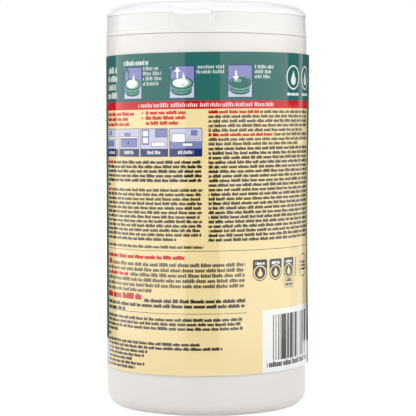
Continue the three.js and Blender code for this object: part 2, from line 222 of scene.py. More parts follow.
class Graph:
    """Short calls that add nodes to a material or a node group."""

    def __init__(self, tree):
        self.tree = tree

    def node(self, kind, feeds=(), **settings):
        """A node, made after those that feed it: long chains render only in that order."""
        node = self.tree.nodes.new(kind)
        for name, value in settings.items():
            setattr(node, name, value)
        self.feeds(node, feeds)
        return node

    def feeds(self, node, values):
        """Sets or links a node's inputs, by their names or numbers."""
        for name, value in dict(values).items():
            self.feed(node.inputs[name], value)

    def feed(self, socket, value):
        if isinstance(value, bpy.types.NodeSocket):
            self.tree.links.new(value, socket)
        else:
            socket.default_value = value

    def calc(self, operation, *values):
        return self.node("ShaderNodeMath", enumerate(values), operation=operation).outputs[0]

    def join(self, *values):
        return self.node("ShaderNodeCombineXYZ", enumerate(values)).outputs[0]

    def mix(self, factor, first, second):
        feeds = {0: factor, 6: first, 7: second}
        return self.node("ShaderNodeMix", feeds, data_type="RGBA").outputs[2]

    def noise(self, place, scale, detail=2.0, roughness=0.5):
        feeds = {"Vector": place, "Scale": scale, "Detail": detail, "Roughness": roughness}
        return self.node("ShaderNodeTexNoise", feeds).outputs["Fac"]

    def spread(self, value, low, high):
        """A value from 0 to 1 as one from low to high."""
        feeds = {"Value": value, "To Min": low, "To Max": high}
        return self.node("ShaderNodeMapRange", feeds).outputs["Result"]

    def bump(self, height, strength, distance, under=None):
        feeds = {"Height": height, "Strength": strength, "Distance": distance}
        if under:
            feeds["Normal"] = under
        return self.node("ShaderNodeBump", feeds).outputs["Normal"]

    def shade(self, tint, factor):
        """A colour made darker or lighter."""
        return self.node("ShaderNodeVectorMath", {0: tint, "Scale": factor}, operation="SCALE").outputs[0]

    def between(self, value, low, high):
        """1 where a value is over the low one and under the high one."""
        over = self.calc("GREATER_THAN", value, low)
        return self.calc("MULTIPLY", over, self.calc("LESS_THAN", value, high))

    def every(self, *masks):
        """1 where all the masks are 1."""
        ink = masks[0]
        for mask in masks[1:]:
            ink = self.calc("MULTIPLY", ink, mask)
        return ink

    def lined(self, filled, edge, line):
        """A filled shape or, with a line width, only its edge."""
        solid = self.calc("LESS_THAN", line, 0.001)
        return self.calc("MULTIPLY", filled, self.calc("MAXIMUM", edge, solid))

    def gloss(self, place, scale, detail, middle):
        """A roughness that wanders a little about its middle value."""
        return self.spread(self.noise(place, scale, detail), middle - 0.03, middle + 0.04)


def new_material(name):
    """A material with its graph, its principled shader and the place on the object."""
    material = bpy.data.materials.new(name)
    material.use_nodes = True
    graph = Graph(material.node_tree)
    shader = material.node_tree.nodes["Principled BSDF"]
    place = graph.node("ShaderNodeTexCoord").outputs["Object"]
    return material, graph, shader, place


def plastic(name, tint, roughness, ripple):
    """Moulded plastic: flow clouds in its colour, fine grain and slow ripples in its gloss."""
    material, graph, shader, place = new_material(name)
    cloud_scale, ripple_scale, gloss_scale, grain_scale = 45, 60, 160, 2600
    clouds = graph.spread(graph.noise(place, cloud_scale, 3), 0.985, 1.01)
    slow = graph.bump(graph.noise(place, ripple_scale, 2), ripple, 0.2 * MM)
    graph.feeds(shader, {
        "Base Color": graph.shade(tint[:3], clouds),
        "Roughness": graph.gloss(place, gloss_scale, 4, roughness),
        "Normal": graph.bump(graph.noise(place, grain_scale, 2), 0.06, 0.04 * MM, slow),
        "IOR": 1.49,
        "Subsurface Weight": 0.4,
        "Subsurface Radius": (1.0, 0.9, 0.8),
        "Subsurface Scale": 2.5 * MM,
    })
    return material


def nonwoven(name, tint):
    """Wet spunlace: crossing fibres, a rib along the web and small pin holes, in bump and colour."""
    material, graph, shader, place = new_material(name)
    rib_scale, fluff_scale = 420, 1500
    feeds = {"Vector": place, "Scale": rib_scale, "Distortion": 9, "Detail": 3}
    fibres = graph.node("ShaderNodeTexWave", feeds, wave_type="BANDS", bands_direction="Z")
    fluff = graph.noise(place, fluff_scale, 5, 0.65)
    height = graph.calc("ADD", graph.calc("MULTIPLY", fibres.outputs["Fac"], 0.5), fluff)
    graph.feeds(shader, {
        "Normal": graph.bump(height, 0.5, 0.12 * MM),
        "Base Color": graph.shade(tint[:3], graph.spread(fluff, 0.88, 1.04)),
        "Roughness": graph.spread(fluff, 0.55, 0.85),
        "Sheen Weight": 0.25,
        "Subsurface Weight": 0.2,
        "Subsurface Radius": (1.0, 1.0, 1.0),
        "Subsurface Scale": 1.0 * MM,
    })
    return material


def new_group(name, *inputs):
    """A node group that gets a place on the print and other numbers, and gives one mask."""
    tree = bpy.data.node_groups.new("Print " + name, "ShaderNodeTree")
    for title in ("Across", "Up", *inputs):
        tree.interface.new_socket(name=title, in_out="INPUT", socket_type="NodeSocketFloat")
    tree.interface.new_socket(name="Ink", in_out="OUTPUT", socket_type="NodeSocketFloat")
    graph = Graph(tree)
    values = graph.node("NodeGroupInput").outputs
    result = graph.node("NodeGroupOutput").inputs[0]
    return graph, result, *values[: 2 + len(inputs)]


def panel_group():
    """A rounded rectangle: its middle, half sizes, corner and, for a frame, line width."""
    names = ("X", "Y", "Half width", "Half height", "Corner", "Line")
    graph, result, across, up, x, y, wide, high, corner, line = new_group("panel", *names)
    sides = []
    for place, middle, half in ((across, x, wide), (up, y, high)):
        offset = graph.calc("ABSOLUTE", graph.calc("SUBTRACT", place, middle))
        sides.append(graph.calc("SUBTRACT", offset, graph.calc("SUBTRACT", half, corner)))
    outside = [graph.calc("MAXIMUM", side, 0) for side in sides]
    squares = [graph.calc("MULTIPLY", side, side) for side in outside]
    reach = graph.calc("SQRT", graph.calc("ADD", *squares))
    inner = graph.calc("MINIMUM", graph.calc("MAXIMUM", *sides), 0)
    distance = graph.calc("SUBTRACT", graph.calc("ADD", reach, inner), corner)
    filled = graph.calc("LESS_THAN", distance, 0)
    edge = graph.calc("GREATER_THAN", distance, graph.calc("MULTIPLY", line, -1))
    graph.feed(result, graph.lined(filled, edge, line))


def disc_group():
    """An ellipse or, with a line width, a ring."""
    names = ("X", "Y", "Radius across", "Radius up", "Line")
    graph, result, across, up, x, y, wide, high, line = new_group("disc", *names)
    first = graph.calc("DIVIDE", graph.calc("SUBTRACT", across, x), wide)
    second = graph.calc("DIVIDE", graph.calc("SUBTRACT", up, y), high)
    squares = [graph.calc("MULTIPLY", share, share) for share in (first, second)]
    reach = graph.calc("SQRT", graph.calc("ADD", *squares))
    filled = graph.calc("LESS_THAN", reach, 1)
    inside = graph.calc("SUBTRACT", 1, graph.calc("DIVIDE", line, wide))
    edge = graph.calc("GREATER_THAN", reach, inside)
    graph.feed(result, graph.lined(filled, edge, line))


def wedge_group():
    """A triangle that stands on its base at Y and narrows to a point above or below it."""
    names = ("X", "Y", "Half width", "Height")
    graph, result, across, up, x, y, wide, high = new_group("wedge", *names)
    share = graph.calc("DIVIDE", graph.calc("SUBTRACT", up, y), high)
    offset = graph.calc("ABSOLUTE", graph.calc("SUBTRACT", across, x))
    allowed = graph.calc("MULTIPLY", graph.calc("SUBTRACT", 1, share), wide)
    inside = graph.calc("LESS_THAN", offset, allowed)
    graph.feed(result, graph.every(inside, graph.calc("GREATER_THAN", share, 0)))


# The shapes of small print, in shares of the rows' pitch. A word's gap is in word lengths.
WORD_LENGTH, LETTER_WIDTH, BAR_TOP, BAR_FOOT, BAR_RISE = 2.1, 0.34, 0.28, 0.84, 0.17
WORD_GAP, TALL_SHARE = 0.055, 0.38
# How far the words shift from one row, or one block, to the next, so that no gaps line up
ROW_SHIFT, BLOCK_SHIFT = 17.37, 7.77


def rows_group():
    """Rows of short bars, as long as words, in the place of small print."""
    names = ("Left", "Right", "Top", "Pitch", "Rows", "Weight", "Ragged", "Seed")
    graph, result, *values = new_group("rows", *names)
    across, up, left, right, top, pitch, rows, weight, ragged, seed = values
    down = graph.calc("DIVIDE", graph.calc("SUBTRACT", top, up), pitch)
    row = graph.calc("FLOOR", down)
    part = graph.calc("FRACT", down)
    within = graph.every(graph.calc("LESS_THAN", row, rows), graph.calc("GREATER_THAN", down, 0))
    feeds = {"Vector": graph.join(row, seed, 0)}
    chance = graph.node("ShaderNodeTexWhiteNoise", feeds, noise_dimensions="2D")
    end = graph.calc("SUBTRACT", right, graph.calc("MULTIPLY", ragged, chance.outputs["Value"]))
    inside = graph.between(across, left, end)
    shifts = graph.calc("MULTIPLY", row, ROW_SHIFT), graph.calc("MULTIPLY", seed, BLOCK_SHIFT)
    start = graph.calc("ADD", *shifts)
    word_length = graph.calc("MULTIPLY", pitch, WORD_LENGTH)
    along = graph.calc("ADD", graph.calc("DIVIDE", across, word_length), start)
    words = graph.node("ShaderNodeTexVoronoi", voronoi_dimensions="1D", feature="DISTANCE_TO_EDGE")
    graph.feeds(words, {"W": along, "Scale": 1.0, "Randomness": 0.85})
    word = graph.calc("GREATER_THAN", words.outputs["Distance"], WORD_GAP)
    letter = graph.calc("DIVIDE", across, graph.calc("MULTIPLY", pitch, LETTER_WIDTH))
    stroke = graph.calc("LESS_THAN", graph.calc("FRACT", letter), graph.calc("ADD", 0.5, weight))
    feeds = {"Vector": graph.join(graph.calc("FLOOR", letter), row, seed)}
    height = graph.node("ShaderNodeTexWhiteNoise", feeds, noise_dimensions="3D")
    tall = graph.calc("GREATER_THAN", height.outputs["Value"], 1 - TALL_SHARE)
    bar_top = graph.calc("SUBTRACT", BAR_TOP, graph.calc("MULTIPLY", tall, BAR_RISE))
    ink = graph.every(within, inside, word, graph.between(part, bar_top, BAR_FOOT))
    faint = graph.calc("ADD", weight, 0.25)
    thin = graph.calc("MULTIPLY_ADD", stroke, graph.calc("SUBTRACT", 1, faint), faint)
    graph.feed(result, graph.calc("MULTIPLY", ink, thin))


def bars_group():
    """Upright bars of mixed widths between two sides."""
    names = ("Left", "Right", "Low", "High", "Width")
    graph, result, across, up, left, right, low, high, width = new_group("bars", *names)
    place = graph.calc("FLOOR", graph.calc("DIVIDE", across, width))
    chance = graph.node("ShaderNodeTexWhiteNoise", noise_dimensions="1D")
    graph.feed(chance.inputs["W"], place)
    ink = graph.calc("GREATER_THAN", chance.outputs["Value"], 0.36)
    masks = (graph.between(across, left, right), graph.between(up, low, high))
    graph.feed(result, graph.every(ink, *masks))


class Printer:
    """Lays fields of colour on a label, one over the other. Places are in millimetres."""

    def __init__(self, name, ground):
        self.material, self.graph, self.shader, self.place = new_material(name)
        spot = self.graph.node("ShaderNodeUVMap", uv_map="print").outputs["UV"]
        parts = self.graph.node("ShaderNodeSeparateXYZ", {0: spot})
        self.across = self.graph.calc("MULTIPLY", parts.outputs[0], 1 / MM)
        self.up = self.graph.calc("MULTIPLY", parts.outputs[1], 1 / MM)
        self.ink = ground
        self.seed = 0

    def lay(self, kind, tint, *values):
        """Prints one shape of a kind, given the numbers that its group takes."""
        group = self.graph.node("ShaderNodeGroup", node_tree=bpy.data.node_groups["Print " + kind])
        self.graph.feeds(group, enumerate((self.across, self.up, *values)))
        self.ink = self.graph.mix(group.outputs[0], self.ink, tint)

    def panel(self, tint, left, right, low, high, corner=0.0, line=0.0):
        middle = ((left + right) / 2, (low + high) / 2)
        self.lay("panel", tint, *middle, (right - left) / 2, (high - low) / 2, corner, line)

    def disc(self, tint, x, y, wide, high=None, line=0.0):
        self.lay("disc", tint, x, y, wide, high or wide, line)

    def wedge(self, tint, x, base, half_width, height):
        self.lay("wedge", tint, x, base, half_width, height)

    def rows(self, tint, *blocks):
        """Blocks of rows: left, right, top, pitch, count, weight and, for ragged ends, by how much."""
        for block in blocks:
            self.seed += 1
            ragged = block[6:] or (0.0,)
            self.lay("rows", tint, *block[:6], *ragged, self.seed)

    def finish(self, roughness=0.08, varnish=0.55):
        """Varnished print: a little unevenness in the ink, the gloss and the surface."""
        graph, place = self.graph, self.place
        tint = graph.shade(self.ink, graph.spread(graph.noise(place, 900, 3), 0.96, 1.03))
        graph.feeds(self.shader, {
            "Base Color": tint,
            "Roughness": graph.gloss(place, 120, 3, roughness),
            "Normal": graph.bump(graph.noise(place, 38, 2), 0.12, 0.3 * MM),
            "IOR": 1.5,
            "Specular IOR Level": varnish,
        })
        return self.material


def step_picture(press, inks, left, low, closed, arrow):
    """One of the three steps: a canister from above, open with a wipe or closed, and an arrow."""
    wide, high = 13.8, 17.3
    right, middle, foot = left + wide, left + wide / 2, low + 2.2

    def oval(tint, rise, half_width, half_height, line=0.0, shift=0.0):
        press.disc(tint, middle + shift, foot + rise, half_width, half_height, line)

    press.panel(inks.lilac, left, right, low, low + high)
    press.panel(inks.pale, left, right, low, low + 3.4)
    press.panel(inks.pale, right - 1.6, right, low, low + 8.5)
    if not closed:
        press.disc(inks.green, left + 2.4, low + 12.2, 2.2, 4.8, 0.8)
    press.panel(inks.pale, middle - 5.2, middle + 5.2, low, foot + 1.2)
    oval(inks.green, 1.4, 5.3, 2.1)
    press.panel(inks.green, middle - 5.3, middle + 5.3, foot + 1.4, foot + 2.4)
    oval(inks.mint, 2.6, 5.3, 2.2)
    oval(inks.black, 3.0, 5.4, 2.3, 0.25)
    oval(inks.green, 3.3, 5.3, 2.2)
    oval(inks.mint, 5.0, 6.2, 3.2)
    oval(inks.green, 5.8, 6.2, 3.3)
    oval(inks.black, 5.8, 6.2, 3.3, 0.22)
    if closed:
        oval(inks.mint, 6.4, 5.2, 2.6)
        oval(inks.green, 6.2, 5.0, 2.5)
        oval(inks.mint, 6.8, 2.2, 0.9, shift=-1.4)
    else:
        oval(inks.mint, 6.0, 5.3, 2.7)
        oval(inks.white, 6.1, 4.3, 2.2, shift=-0.6)
        oval(inks.black, 5.7, 1.5, 0.8, shift=0.9)
        press.wedge(inks.white, middle + 1.0, foot + 5.2, 1.7, 6.6)
    if arrow:
        base, start = low + 13.0, 1.2 if arrow > 0 else -1.8
        press.panel(inks.white, middle - 2.9, middle - 1.9, base - 2.2, base + 1.2)
        press.wedge(inks.white, middle - 2.4, base + start, 1.7, 2.6 * arrow)
    press.panel(inks.navy, left, right, low, low + high, 0.0, 0.35)


def room_picture(press, inks, left, right, shapes):
    """A line picture of a room over a navy strip with one row in it."""
    low, strip, high = 139.2, 143.5, 154.4
    wide, tall = right - left, high - strip
    press.panel(inks.pale, left, right, strip, high)
    for tint, x0, x1, y0, y1, line in shapes:
        box = (left + wide * x0, left + wide * x1, strip + tall * y0, strip + tall * y1)
        press.panel(getattr(inks, tint), *box, 0.3)
        if line:
            press.panel(inks.navy, *box, 0.3, line)
    press.panel(inks.navy, left, right, low, strip)
    press.panel(inks.navy, left, right, low, high, 0.0, 0.3)
    margin = wide * 0.26
    press.rows(inks.white, (left + margin, right - margin, 142.8, 2.6, 1, 0.0))


def red_start(press, inks, left, right, top, pitch):
    """The red words that start a block, over the black row in their place."""
    press.panel(inks.cream, left, right + 0.6, top - pitch, top)
    press.rows(inks.red, (left, right, top, pitch, 1, 0.5))


def badge(press, inks, left, right, high):
    """A dark tab with a row in it over a ring with a drop inside."""
    middle, radius, ring_middle = (left + right) / 2, (right - left) / 2, 76.6
    press.panel(inks.black, left, right, high - 5.6, high, 0.9)
    press.rows(inks.white, (left + 1.6, right - 1.6, high - 1.0, 2.2, 1, 0.35))
    press.disc(inks.cream, middle, ring_middle, radius)
    press.disc(inks.black, middle, ring_middle, radius, radius, 0.5)
    press.disc(inks.black, middle, ring_middle, radius * 0.74)
    press.disc(inks.cream, middle, ring_middle - 0.6, radius * 0.34)
    press.wedge(inks.cream, middle, ring_middle - 0.2, radius * 0.3, radius * 0.62)


def ring_sign(press, inks, middle):
    """A plain ring with a drop in it and a short row under it."""
    press.disc(inks.white, middle, 181.2, 6.6, 6.6, 0.8)
    press.disc(inks.white, middle, 179.6, 2.5)
    press.wedge(inks.white, middle, 180.4, 2.3, 4.6)
    press.rows(inks.white, (middle - 6.0, middle + 6.0, 173.4, 2.4, 1, 0.3))


# What stands in each room: colour, sides and foot and top as shares of the picture, and the width
# of a navy outline in millimetres.
COUNTER = (
    ("steel", 0.1, 0.9, 0.08, 0.5, 0.25),
    ("white", 0.06, 0.94, 0.5, 0.62, 0.25),
    ("navy", 0.47, 0.53, 0.2, 0.38, 0),
    ("steel", 0.3, 0.62, 0.62, 0.8, 0),
)
SHELVES = (
    ("steel", 0.06, 0.34, 0.2, 0.94, 0.25),
    ("white", 0.1, 0.3, 0.62, 0.88, 0),
    ("white", 0.1, 0.3, 0.28, 0.54, 0),
    ("steel", 0.56, 0.96, 0.56, 0.96, 0.25),
    ("white", 0.42, 0.9, 0.1, 0.34, 0.25),
)
DESK = (
    ("steel", 0.0, 1.0, 0.0, 0.36, 0),
    ("white", 0.08, 0.5, 0.3, 0.74, 0.25),
    ("white", 0.58, 0.92, 0.44, 0.52, 0.2),
    ("white", 0.4, 0.72, 0.1, 0.28, 0.25),
    ("steel", 0.66, 0.86, 0.62, 0.9, 0),
)
BENCH = (
    ("steel", 0.1, 0.7, 0.12, 0.4, 0.25),
    ("white", 0.2, 0.9, 0.46, 0.6, 0.25),
    ("steel", 0.3, 0.52, 0.66, 0.9, 0),
)


# The leaflet is printed in four fields. The first starts at the stripe's foot, the last ends at
# the rule under the columns, and the other two meet between the columns. Rows start at MARGIN.
STRIPE_FOOT, RULE, COLUMN_GAP, MARGIN = 164.4, 89.3, -0.5, -71.2


def field_press(name, inks):
    """A press with the cream ground and the green edge that runs down the left."""
    press = Printer(name, inks.cream)
    press.panel(inks.green, -120, -72.6, 0, 210)
    return press


def print_end():
    """Where the leaflet's print stops and the bare green of its last page shows, in millimetres."""
    size = sizes("labels")
    return (label_high.x * size.leaflet_end + size.print_end) / MM


def steps_print(inks):
    """The green band with three steps and two ring signs, over the red stripe."""
    press = Printer("printed_steps", inks.green)
    press.panel(inks.red, -120, print_end(), 160, 168.7)
    press.rows(
        inks.white,
        (-39, 39, 168.1, 3.1, 1, -0.12),
        (-51, -32.5, 191.2, 3.6, 1, 0.0),
        (-71.5, -56, 188.4, 4.6, 4, 0.0, 4),
    )
    step_picture(press, inks, -50.5, 170.0, False, 0)
    step_picture(press, inks, -19.9, 170.0, False, 1)
    step_picture(press, inks, 11.2, 170.2, True, -1)
    press.rows(
        inks.white,
        (-36, -23.5, 187.6, 2.7, 4, -0.15, 3),
        (-5.2, 9.6, 187.8, 2.6, 2, -0.15, 2),
        (26.3, 38.5, 187.8, 2.6, 3, -0.12, 3),
    )
    ring_sign(press, inks, 55.2)
    ring_sign(press, inks, 71.5)
    return press.finish(varnish=0.36)


def left_print(inks):
    """Red rows, four room pictures and the left column. The renderer takes no more layers."""
    press = field_press("printed_left_column", inks)
    press.rows(inks.red, (MARGIN, -41, 163.6, 2.75, 3, 0.4, 9), (-34.2, -6, 164.0, 2.75, 3, 0.4, 9))
    for height in (162.7, 159.9):
        press.disc(inks.red, -36.2, height, 0.55)
    press.rows(
        inks.black,
        (MARGIN, -2.0, 137.5, 2.42, 5, 0.4, 0.8),
        (MARGIN, -66, 125.4, 2.42, 1, 0.45),
        (MARGIN, -2.0, 122.6, 2.38, 11, 0.3, 1.5),
        (MARGIN, -16, 96.4, 2.38, 1, 0.35),
        (MARGIN, -1.3, 92.2, 2.2, 1, 0.25),
    )
    red_start(press, inks, MARGIN, -62.5, 137.5, 2.42)
    red_start(press, inks, MARGIN, -64.5, 122.6, 2.38)
    room_picture(press, inks, -73.2, -56.3, BENCH)
    room_picture(press, inks, -55.5, -38.5, COUNTER)
    room_picture(press, inks, -37.8, -20.5, SHELVES)
    room_picture(press, inks, -19.9, -2.1, DESK)
    return press.finish()


def right_print(inks):
    """The right column, which is one block of small rows."""
    press = field_press("printed_right_column", inks)
    left, right, pitch = 1.1, 76.2, 2.42
    press.rows(
        inks.black,
        (left, right, 163.9, pitch, 4, 0.25, 1.0),
        (left, 66, 154.2, pitch, 1, 0.25),
        (left, right, 151.8, pitch, 2, 0.25, 1.0),
        (left, 60, 147.0, pitch, 1, 0.25),
        (left, right, 144.5, pitch, 21, 0.35, 1.2),
    )
    red_start(press, inks, left, 29.0, 163.9, pitch)
    red_start(press, inks, left, 37.5, 151.8, pitch)
    press.panel(inks.green, print_end(), 120, 80, 170)
    return press.finish()


def foot_print(inks):
    """Ruled blocks of rows, three badges, a ring and the bars on their white panel."""
    press = field_press("printed_foot", inks)
    press.panel(inks.black, MARGIN, 120, 88.9, 89.2)
    press.rows(inks.red, (MARGIN, -11.5, 86.9, 2.9, 1, 0.5), (MARGIN, -65, 84.2, 4.4, 1, 0.5))
    press.rows(
        inks.black,
        (-64, 21, 82.9, 2.8, 1, 0.15),
        (MARGIN, 21, 80.1, 2.8, 4, 0.15, 1),
        (MARGIN, -30, 68.9, 2.8, 1, 0.15),
    )
    red_start(press, inks, -66.0, -46.5, 77.3, 2.8)
    press.rows(inks.red, (MARGIN, -37.3, 66.2, 4.6, 1, 0.5))
    press.rows(
        inks.black,
        (-35.5, 21, 63.6, 2.8, 1, 0.35),
        (MARGIN, 21, 60.9, 2.8, 1, 0.35, 1),
        (MARGIN, -50, 58.2, 2.8, 1, 0.35),
    )
    press.panel(inks.black, MARGIN, 22, 55.4, 55.7)
    press.rows(
        inks.black,
        (MARGIN, 20, 53.4, 2.38, 3, 0.3, 2),
        (MARGIN, -57, 46.2, 2.38, 1, 0.3),
        (MARGIN, -66, 43.2, 2.3, 1, 0.45),
        (MARGIN, -3.5, 40.2, 2.3, 1, 0.35),
        (MARGIN, 8.5, 37.9, 2.3, 1, 0.35),
        (MARGIN, -32, 35.6, 2.3, 5, 0.35, 14),
    )
    badge(press, inks, 25.4, 34.3, 83.7)
    badge(press, inks, 35.9, 44.8, 83.6)
    press.panel(inks.black, 46.6, 55.4, 67.4, 83.7, 0.9, 0.35)
    badge(press, inks, 46.6, 55.4, 83.7)
    press.rows(inks.black, (48.0, 54.0, 72.4, 2.2, 2, 0.45), (57.2, 58.6, 83.4, 0.9, 12, 0.45))
    press.disc(inks.black, 68.3, 78.3, 6.4, 6.4, 0.55)
    press.rows(inks.black, (64.0, 72.6, 81.2, 2.0, 3, 0.45))
    press.panel(inks.white, 31.4, 120, 0, 56.3)
    press.lay("bars", inks.black, 38.4, 74.6, 28.6, 53.3, 0.62)
    press.rows(inks.black, (34.2, 76.0, 28.6, 4.2, 1, 0.25))
    press.panel(inks.green, print_end(), 120, 0, 100)
    return press.finish()


def front_print(inks):
    """The base label: the band, stripe and ground carry on round to a plain front panel."""
    press = Printer("printed_front", inks.green)
    press.panel(inks.red, -400, 400, STRIPE_FOOT, 168.7)
    middle, half = 176.5, 36
    press.panel(inks.cream, middle - 52, middle + 52, 62, 150, 9)
    press.panel(inks.green, middle - 50.4, middle + 50.4, 63.6, 148.4, 7.6, 0.5)
    press.disc(inks.green, middle, 118, 24)
    press.disc(inks.cream, middle, 118, 22.6, 22.6, 1.2)
    press.disc(inks.white, middle, 112, 10.5)
    press.wedge(inks.white, middle, 115.5, 9.6, 19)
    for left, right in ((-34, -19), (-16.5, -2), (0.5, 16), (18.5, 34)):
        press.panel(inks.navy, middle + left, middle + right, 82.4, 86.4, 1)
    press.rows(inks.black, (middle - 40, middle + 40, 78, 3.4, 3, 0.2, 6))
    press.panel(inks.white, middle - half, middle + half, 176, 188, 3)
    for left, right in ((-29, -12), (-9, 9), (12, 29)):
        press.panel(inks.navy, middle + left, middle + right, 179.6, 184.4, 1)
    press.panel(inks.white, middle - half, middle + half, 50, 50.5)
    press.rows(inks.white, (middle - half, middle + half, 47, 3.4, 4, 0.3, 10))
    return press.finish()


def fillet(profile, steps=5):
    """The points of a profile, with a round where a corner gives a radius as its third number."""
    points = []
    count = len(profile)
    for index, corner in enumerate(profile):
        here = Vector(corner[:2])
        if len(corner) < 3:
            points.append(here)
            continue
        before = Vector(profile[index - 1][:2])
        after = Vector(profile[(index + 1) % count][:2])
        back, forth = (before - here).normalized(), (after - here).normalized()
        half = back.angle(forth) / 2
        reach = corner[2] / math.tan(half)
        middle = here + (back + forth).normalized() * (corner[2] / math.sin(half))
        start, end = here + back * reach - middle, here + forth * reach - middle
        turn = start.angle_signed(end)
        for step in range(steps + 1):
            spin = Matrix.Rotation(-turn * step / steps, 2)
            points.append(middle + spin @ start)
    return points


def even(stops, step):
    """Places about a step apart from the first stop to the last, with each stop among them."""
    places = []
    for start, end in zip(stops, stops[1:]):
        count = max(1, round((end - start) / step))
        places += [start + (end - start) * index / count for index in range(count)]
    return [*places, stops[-1]]


def arc(radius, height, wide, start, end, steps, high=None):
    """Points of a round or, with a height of its own, of an oval. The angles are in degrees."""
    for step in range(steps + 1):
        turn = math.radians(start + (end - start) * step / steps)
        yield radius + wide * math.cos(turn), height + (high or wide) * math.sin(turn)


def around(radius, turn, height):
    """A place by its distance from the axis, its angle from the hinge's side and its height."""
    return radius * math.sin(turn), -radius * math.cos(turn), height


def new_piece(name, points, faces, material=None):
    mesh = bpy.data.meshes.new(name)
    mesh.from_pydata([tuple(point) for point in points], [], faces)
    mesh.validate()
    if material:
        mesh.materials.append(material)
    piece = bpy.data.objects.new(name, mesh)
    bpy.context.scene.collection.objects.link(piece)
    return piece


def smooth(piece, degrees=32):
    """Smooth shading, sharp where faces meet at more than an angle, with faces turned outwards."""
    shape = bmesh.new()
    shape.from_mesh(piece.data)
    bmesh.ops.recalc_face_normals(shape, faces=shape.faces)
    shape.to_mesh(piece.data)
    shape.free()
    piece.data.shade_smooth()
    piece.data.set_sharp_from_angle(angle=math.radians(degrees))


def rings_of(count, sides):
    """The numbers of the points in rings that follow one another."""
    return [range(ring * sides, (ring + 1) * sides) for ring in range(count)]


def ring_faces(rings):
    """The faces between each ring of points and the next. One vertex may stand for a whole ring."""
    faces = []
    for low, high in zip(rings, rings[1:]):
        for side in range(len(low)):
            after = (side + 1) % len(low)
            loop = list(dict.fromkeys((low[side], low[after], high[after], high[side])))
            if len(loop) > 2:
                faces.append(loop)
    return faces


def sheet_faces(columns, rows, first=0):
    """The front faces of a thin sheet, and the rest. Each column has its front points first."""
    front, rest = [], []
    stride = 2 * rows
    for column in range(columns + 1):
        corner = first + column * stride
        for low in range(corner, corner + rows - 1):
            high = low + stride
            if column < columns:
                front.append((low, high, high + 1, low + 1))
                rest.append((low + rows, low + rows + 1, high + rows + 1, high + rows))
            if column in (0, columns):
                rest.append((low, low + 1, low + 1 + rows, low + rows))
        if column < columns:
            for low in (corner, corner + rows - 1):
                rest.append((low, low + rows, low + stride + rows, low + stride))
    return front, rest


def turned(name, profile, sides, material=None, closed=True):
    """A profile of radius and height turned about the axis. A point on the axis is one vertex."""
    points, rings = [], []
    for radius, height in profile:
        first = len(points)
        if radius < 1e-7:
            rings.append([first] * sides)
            points.append((0, 0, height))
        else:
            rings.append(range(first, first + sides))
            points += [around(radius, 2 * math.pi * side / sides, height) for side in range(sides)]
    if closed:
        rings.append(rings[0])
    return new_piece(name, points, ring_faces(rings), material)


def block(name, low, high):
    """A plain box, to cut or join with."""
    corners = [(x, y, z) for x in (low[0], high[0]) for y in (low[1], high[1]) for z in (low[2], high[2])]
    faces = [(0, 1, 3, 2), (4, 6, 7, 5), (0, 4, 5, 1), (2, 3, 7, 6), (0, 2, 6, 4), (1, 5, 7, 3)]
    return new_piece(name, corners, faces)


def settle(piece):
    """Applies a piece's modifiers to its mesh."""
    bpy.context.view_layer.update()
    shown = piece.evaluated_get(bpy.context.evaluated_depsgraph_get())
    mesh = bpy.data.meshes.new_from_object(shown)
    old = piece.data
    piece.modifiers.clear()
    piece.data = mesh
    bpy.data.meshes.remove(old)
    mesh.name = piece.name


def carve(piece, tool, operation):
    """Joins a tool to a piece, cuts it away or keeps what they share, and drops the tool."""
    cutter = piece.modifiers.new("carve", "BOOLEAN")
    cutter.operation = operation
    cutter.solver = "EXACT"
    cutter.object = tool
    settle(piece)
    bpy.data.objects.remove(tool)


def soften(piece, width=0.12 * MM, degrees=38):
    """Breaks the sharp edges with a small bevel."""
    bevel = piece.modifiers.new("soften", "BEVEL")
    bevel.limit_method = "ANGLE"
    bevel.angle_limit = math.radians(degrees)
    bevel.width = width
    bevel.segments = 2
    bevel.use_clamp_overlap = True
    settle(piece)


def ride(piece, body, slot, *nodes):
    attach(piece, body)
    if nodes:
        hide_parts(*nodes)


class CANISTER_OT_shell(Operator):
    """Blows the canister: heel, push-up, shoulder, neck with its bead, and the pinch-off line"""

    bl_idname = "canister.shell"
    bl_label = "Blow the canister"

    def execute(self, context):
        size = sizes("shell")
        radius, neck_top = body_high.x, body_high.z
        shoulder = neck_top - size.neck_height
        heel, foot_in = size.heel_round, radius - size.heel_round - size.foot_width
        hollow, hollow_in = size.push_up, foot_in - 4 * MM
        neck = radius - size.neck_inset
        neck_in = neck - size.neck_wall
        bead, bead_half = shoulder + size.neck_bead_rise, 0.9 * MM
        profile = [
            (0, hollow),
            (hollow_in, hollow, 2.5 * MM),
            (foot_in, 0, 0.8 * MM),
            *arc(radius - heel, heel, heel, -90, 0, 18),
            (radius, shoulder - size.ledge_fall, size.shoulder_round),
            (neck, shoulder, 0.3 * MM),
            (neck, bead - bead_half, 0.3 * MM),
            (neck + size.neck_bead, bead, 0.4 * MM),
            (neck, bead + bead_half, 0.3 * MM),
            (neck, neck_top, 0.5 * MM),
            (neck_in, neck_top, 0.2 * MM),
            (neck_in, shoulder - size.wall, 0.4 * MM),
            (radius - size.wall, shoulder - 3 * size.wall, 1.5 * MM),
            *arc(radius - heel, heel, heel - size.wall, 0, -90, 8),
            (hollow_in, hollow + size.wall, 1.5 * MM),
            (0, hollow + size.wall),
        ]
        tint = plastic("blown_plastic", sizes("colours").shell, 0.34, 0.12)
        piece = turned("canister_shell", fillet(profile), size.sides, tint, closed=False)
        long, half = 24 * MM, 0.35 * MM
        pinch = block("pinch", (-long, -half, hollow - half), (long, half, hollow + 0.3 * MM))
        carve(piece, pinch, "UNION")
        smooth(piece)
        ride(piece, "canister", "canister_plastic", "canister_body")
        return {"FINISHED"}


